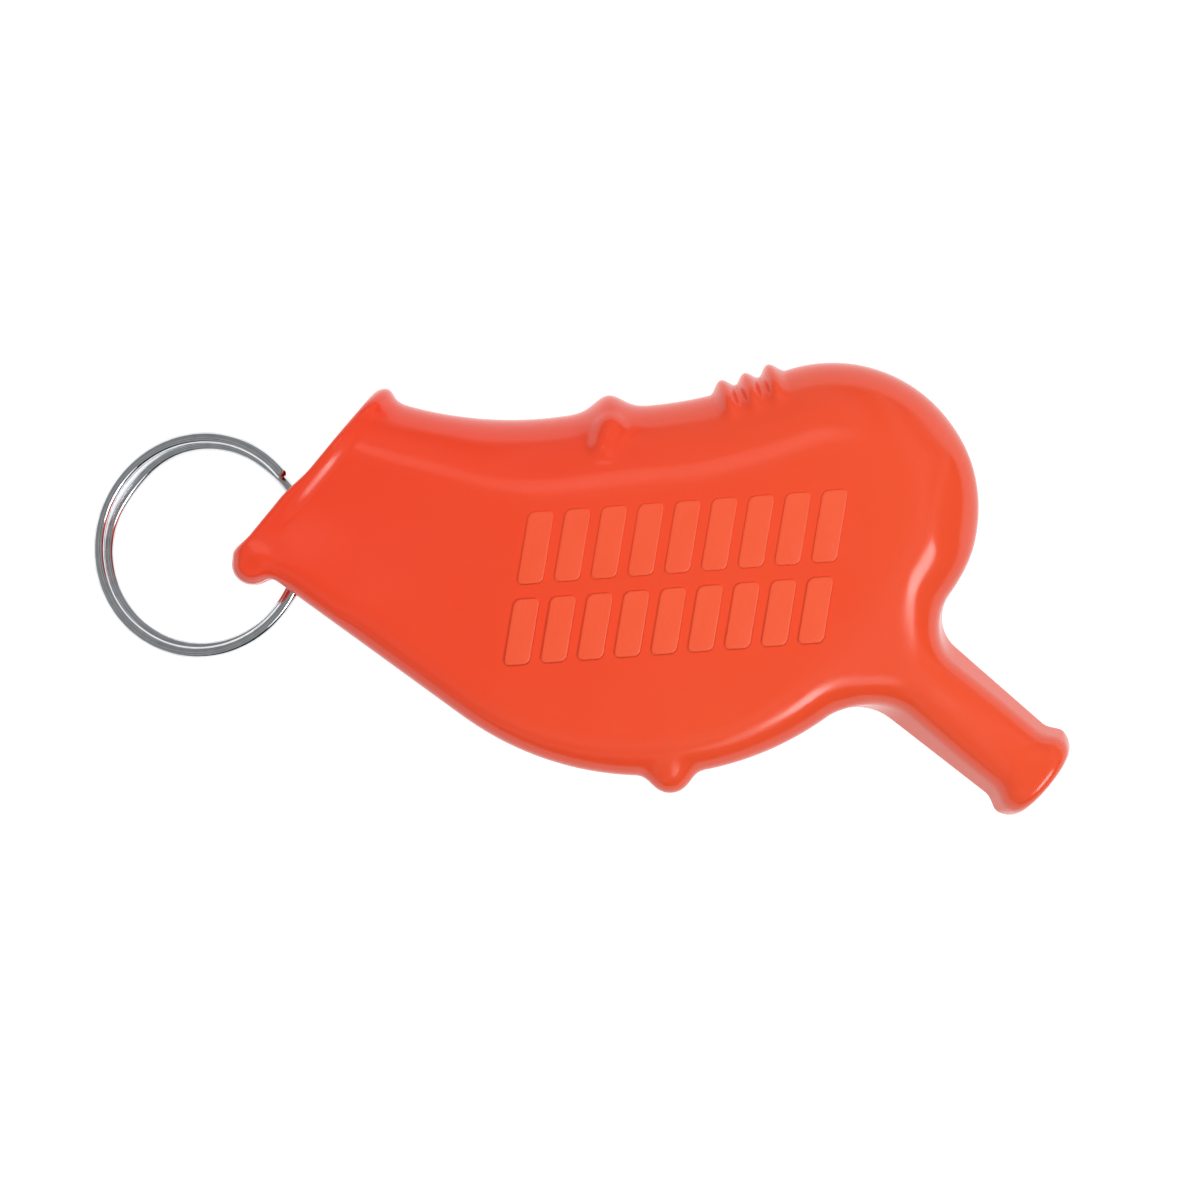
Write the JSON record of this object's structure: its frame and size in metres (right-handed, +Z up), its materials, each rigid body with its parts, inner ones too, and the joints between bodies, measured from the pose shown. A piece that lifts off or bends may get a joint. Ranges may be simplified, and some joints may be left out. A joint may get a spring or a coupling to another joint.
{
  "type": "training whistle",
  "caption": "Flat moulded pea whistle with a wide bell, round tone chamber, narrow mouthpiece and a split ring through the bell's lower wall.",
  "frame": {"origin": "bottom centre of the whole assembly's box, on the surface the whistle lies on", "axes": "+Z up through the whistle's thickness as it lies on its side; +X along the mouthpiece towards the player; +Y from the belly to the bulb"},
  "size_m": [0.0906, 0.0682, 0.016],
  "materials": {
    "shell_plastic": "glossy moulded orange-red ABS",
    "insert_plastic": "moulded orange-red ABS, inside",
    "pea_plastic": "matt pale synthetic cork",
    "ring_steel": "bright nickel plate on steel wire"
  },
  "bodies": {
    "root": {"upper_shell": "shell_plastic", "lower_shell": "shell_plastic", "tone_chamber": "insert_plastic", "windway_block": "insert_plastic"},
    "pea": {"pea": "pea_plastic"},
    "ring": {"split_ring": "ring_steel"}
  },
  "joints": [
    {"name": "pea_orbit", "type": "hinge", "parent": "root", "child": "pea", "pos_m": [0.01154, 0.01979, 0.008], "axis": [0, 0, 1], "continuous": true},
    {"name": "ring_swing", "type": "hinge", "parent": "root", "child": "ring", "pos_m": [-0.02485, -0.01961, 0.0074], "axis": [0, 0, 1], "range_deg": [-35, 30]}
  ]
}
